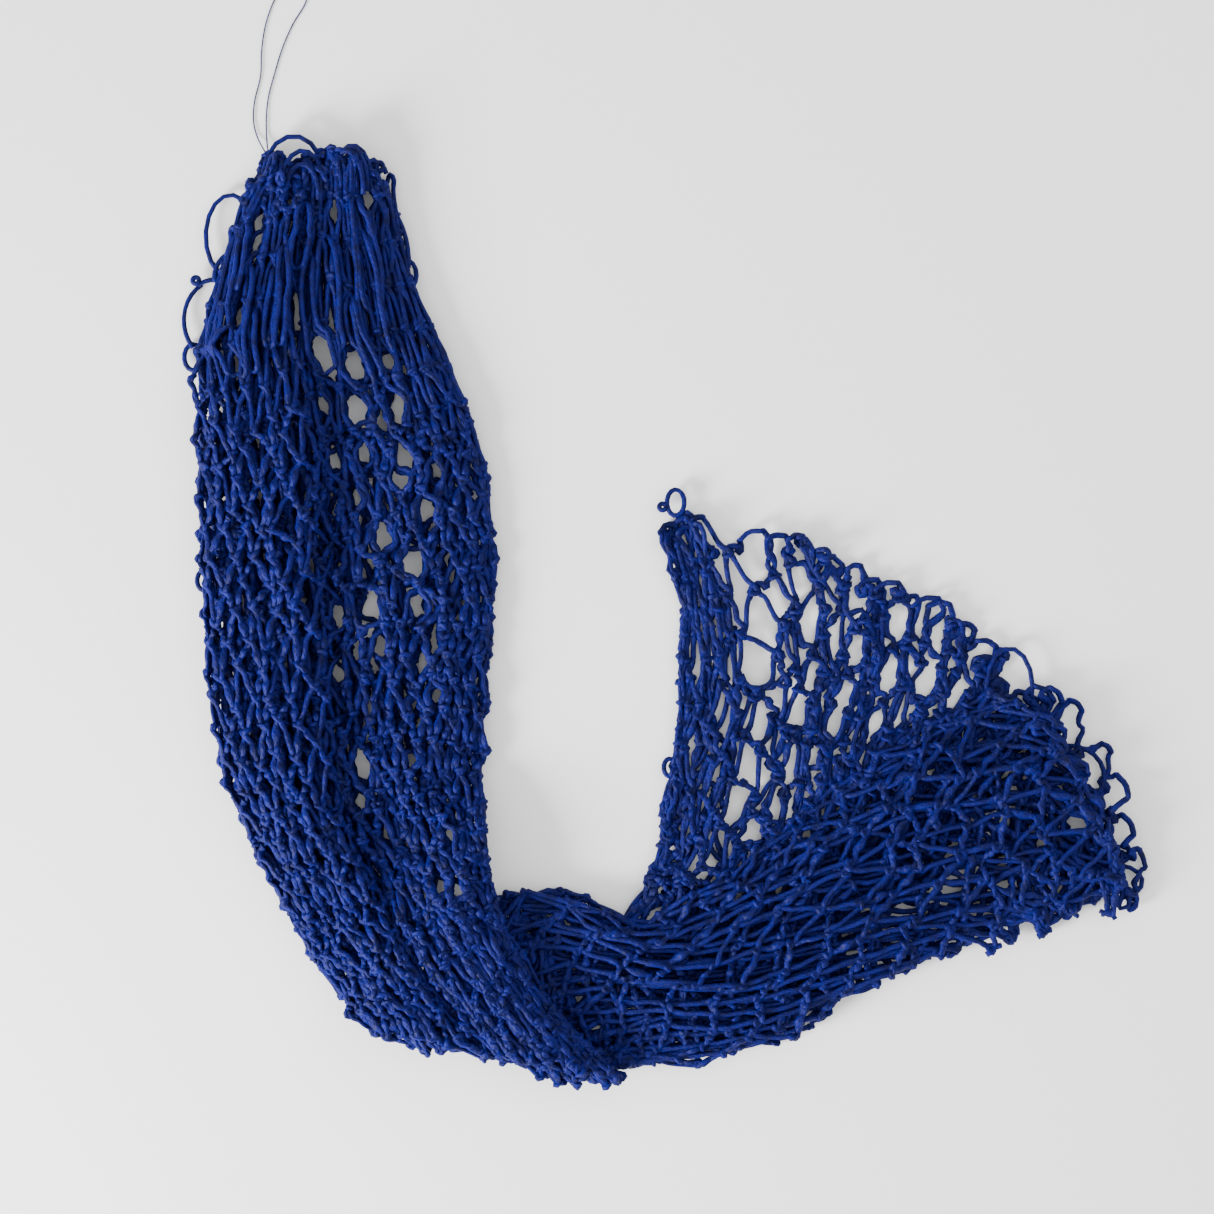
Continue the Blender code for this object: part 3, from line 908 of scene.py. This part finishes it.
def twine_mesh(name, lengths):
    """A mesh of these lengths of twine, each with closed ends, and two sets of UVs: one that
    gives the way along the twine and round it, and one laid out in strips with no overlaps."""
    vertices, faces, lay, spread = [], [], [], []
    rings_before = 0
    for points, out, flat in lengths:
        base = sum(len(part) for part in vertices)
        skin = tube(points, out, flat).reshape(-1, 3)
        skin[:, 2] = np.maximum(skin[:, 2], LOWEST)
        vertices.append(skin)
        i = np.arange(len(points) - 1)[:, None] * SIDES + base
        j = np.arange(SIDES)[None, :]
        k = (j + 1) % SIDES
        quads = np.stack((i + j, i + k, i + SIDES + k, i + SIDES + j), -1).reshape(-1, 4)
        faces.extend(tuple(face) for face in quads.tolist())
        faces.append(tuple(range(base, base + SIDES))[::-1])
        last = base + (len(points) - 1) * SIDES
        faces.append(tuple(range(last, last + SIDES)))
        steps = np.linalg.norm(np.diff(points, axis=0), axis=1)
        away = np.concatenate(([0.0], np.cumsum(steps)))
        ring = np.arange(len(points) - 1)[:, None, None] + np.array((0, 0, 1, 1))
        side = np.arange(SIDES)[None, :, None] + np.array((0, 1, 1, 0))
        ring, side = np.broadcast_arrays(ring, side)
        lay.append(np.stack((away[ring], side / SIDES), -1).reshape(-1, 2))
        number = ring[..., :1] + rings_before
        strip = number // STRIP_RINGS
        flat_x = (number % STRIP_RINGS + (ring - ring[..., :1]) * FACE_FILL) / STRIP_RINGS
        flat_y = (strip + (1 - STRIP_FILL) / 2 + STRIP_FILL * side / SIDES) / STRIPS
        spread.append(np.stack((flat_x, flat_y), -1).reshape(-1, 2))
        for end, where in ((0, 0), (len(points) - 1, len(points) - 2)):
            lay.append(np.broadcast_to((away[end], 0.5), (SIDES, 2)))
            corner = np.array(spread[-1 if end == 0 else -2].reshape(-1, SIDES, 4, 2)[where, 0, 0])
            turn = np.arange(SIDES) * 2 * math.pi / SIDES
            spread.append(corner + END_DISC * np.stack((np.cos(turn), np.sin(turn)), 1))
        rings_before += len(points)
    mesh = bpy.data.meshes.new(name)
    mesh.from_pydata(np.concatenate(vertices).tolist(), [], faces)
    for layer, values in (("lay", lay), ("OFBake", spread)):
        mesh.uv_layers.new(name=layer).data.foreach_set("uv", np.concatenate(values).ravel())
    mesh.polygons.foreach_set("use_smooth", [True] * len(mesh.polygons))
    return mesh


BRAID_TURNS = 150.0  # of a strand to a metre of twine
BRAID_STRANDS = 4.0


def braid_strand(tree, turns_per_metre, turns_round):
    """A wave that winds round the twine: the ridges of the strands that lean one way."""
    lay = tree.nodes.new("ShaderNodeUVMap")
    lay.uv_map = "lay"
    split = tree.nodes.new("ShaderNodeSeparateXYZ")
    tree.links.new(lay.outputs["UV"], split.inputs["Vector"])
    along_twine = tree.nodes.new("ShaderNodeMath")
    along_twine.operation = "MULTIPLY"
    along_twine.inputs[1].default_value = turns_per_metre * 2 * math.pi
    tree.links.new(split.outputs["X"], along_twine.inputs[0])
    winding = tree.nodes.new("ShaderNodeMath")
    winding.operation = "MULTIPLY_ADD"
    winding.inputs[1].default_value = turns_round * 2 * math.pi
    tree.links.new(split.outputs["Y"], winding.inputs[0])
    tree.links.new(along_twine.outputs["Value"], winding.inputs[2])
    wave = tree.nodes.new("ShaderNodeMath")
    wave.operation = "SINE"
    tree.links.new(winding.outputs["Value"], wave.inputs[0])
    return wave.outputs["Value"]


def make_twine_material():
    """Braided polyethylene, a deep blue, with a silky gloss; its base colour carries painted shade in the
    hollows of the braid and a slight painted highlight on its ridges.
    """
    material = bpy.data.materials.new("twine")
    material.use_nodes = True
    tree = material.node_tree
    shader = tree.nodes["Principled BSDF"]
    shader.inputs["Roughness"].default_value = 0.6
    shader.inputs["Specular IOR Level"].default_value = 0.13
    shader.inputs["Subsurface Weight"].default_value = 0.35
    shader.inputs["Subsurface Radius"].default_value = (0.15, 0.3, 1.0)
    shader.inputs["Subsurface Scale"].default_value = 0.004
    colour = streaked_colour(
        tree, 90.0, 6.0, (0.3, (0.0004, 0.0013, 0.036)), (0.72, (0.0015, 0.0041, 0.122))
    )
    braid = tree.nodes.new("ShaderNodeMath")
    braid.operation = "MAXIMUM"
    tree.links.new(braid_strand(tree, BRAID_TURNS, BRAID_STRANDS), braid.inputs[0])
    tree.links.new(braid_strand(tree, BRAID_TURNS, -BRAID_STRANDS), braid.inputs[1])
    bump = tree.nodes.new("ShaderNodeBump")
    bump.inputs["Strength"].default_value = 0.5
    bump.inputs["Distance"].default_value = 0.0004
    tree.links.new(braid.outputs["Value"], bump.inputs["Height"])
    tree.links.new(bump.outputs["Normal"], shader.inputs["Normal"])
    # Painted shade and highlight: the base colour is scaled from 0.62 in the hollows of the braid up to
    # 1.08 on its ridges, following the same wave as the bump.
    shade = tree.nodes.new("ShaderNodeMapRange")
    shade.inputs["From Min"].default_value = -1.0
    shade.inputs["To Min"].default_value = 0.62
    shade.inputs["To Max"].default_value = 1.08
    tree.links.new(braid.outputs["Value"], shade.inputs["Value"])
    painted_shade_colour = tree.nodes.new("ShaderNodeVectorMath")
    painted_shade_colour.operation = "SCALE"
    tree.links.new(colour, painted_shade_colour.inputs[0])
    tree.links.new(shade.outputs["Result"], painted_shade_colour.inputs["Scale"])
    tree.links.new(painted_shade_colour.outputs["Vector"], shader.inputs["Base Color"])
    return material


# Where the net folds when it is picked up. A row that lies wholly to one side of
# such a line rides on that side's body, and a row that lies across it is left on
# no body: (the last row that it matters to, body before it, body after it, a point
# on it, the way across it).
HINGES = (
    (10, "upper_run", "head", (-0.3073, 0.2128, 0.054), (0.0501, 0.9987, 0.0)),
    (25, "lying_run", "upper_run", (-0.2896, 0.0062, 0.054), (0.0130, 0.9999, 0.0)),
    (ROWS, "lying_run", "fan", (0.12495, -0.28124, 0.042), (0.2579, 0.9662, 0.0)),
)
HINGE_REACH = 0.032  # the bend's length, to each side of the hinge


def follow(twine, number):
    """Puts a row on the body to its side of the nearest fold; a row that lies across the fold keeps its
    place on no body.
    """
    _, before, after, hinge, way = next(fold for fold in HINGES if number <= fold[0])
    hinge, way = np.array(hinge), np.array(way)
    start, end = hinge - HINGE_REACH * way, hinge + HINGE_REACH * way
    reach = np.array([corner.co for corner in twine.data.vertices]) @ way
    if reach.max() <= start @ way:
        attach(twine, before)
    elif reach.min() >= end @ way:
        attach(twine, after)
    else:
        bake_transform(twine)


twine_material = make_twine_material()
for number in range(1, ROWS + 1):
    loops = [loose_loop(*arc) for row, *arc in LOOSE_LOOPS if row == number]
    if number in LONG_LOOP_ROWS:
        first = number - LONG_LOOP_ROWS[0]
        loops += [long_loop(k) for k in range(first, LONG_LOOPS, len(LONG_LOOP_ROWS))]
    mesh = twine_mesh(f"twine_{number:02d}", [row_path(number - 1)] + loops)
    mesh.materials.append(twine_material)
    twine = bpy.data.objects.new(f"twine_{number:02d}", mesh)
    bpy.context.scene.collection.objects.link(twine)
    follow(twine, number)
    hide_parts(f"twine_row_{number:02d}")

# ---------------------------------------------------------------------------
# The floor is a plain pale sheet, with soft light from the lower left.
FLOOR_HALF = 6  # half its side
FLOOR_DROP = 0.0005  # below the net
floor_corners = [
    (x * FLOOR_HALF, y * FLOOR_HALF, -FLOOR_DROP) for x, y in ((-1, -1), (1, -1), (1, 1), (-1, 1))
]
floor_mesh = bpy.data.meshes.new("floor")
floor_mesh.from_pydata(floor_corners, [], [(0, 1, 2, 3)])
floor = bpy.data.objects.new("floor", floor_mesh)
bpy.context.scene.collection.objects.link(floor)
floor_material = bpy.data.materials.new("floor")
floor_material.use_nodes = True
floor_shader = floor_material.node_tree.nodes["Principled BSDF"]
floor_shader.inputs["Base Color"].default_value = (0.9, 0.9, 0.9, 1)
floor_shader.inputs["Roughness"].default_value = 0.9
floor_mesh.materials.append(floor_material)

world = bpy.data.worlds.new("world")
world.use_nodes = True
world.node_tree.nodes["Background"].inputs["Color"].default_value = (1, 1, 1, 1)
world.node_tree.nodes["Background"].inputs["Strength"].default_value = 1.5
bpy.context.scene.world = world


def lamp(name, at, size, power):
    data = bpy.data.lights.new(name, "AREA")
    data.energy = power
    data.size = size
    made = bpy.data.objects.new(name, data)
    made.location = at
    made.rotation_euler = (-Vector(at)).to_track_quat("-Z", "Y").to_euler()
    bpy.context.scene.collection.objects.link(made)


lamp("key", (-2.3, -1.5, 1.0), 1.0, 300)
lamp("fill", (1.5, 1.0, 2.2), 2.0, 20)
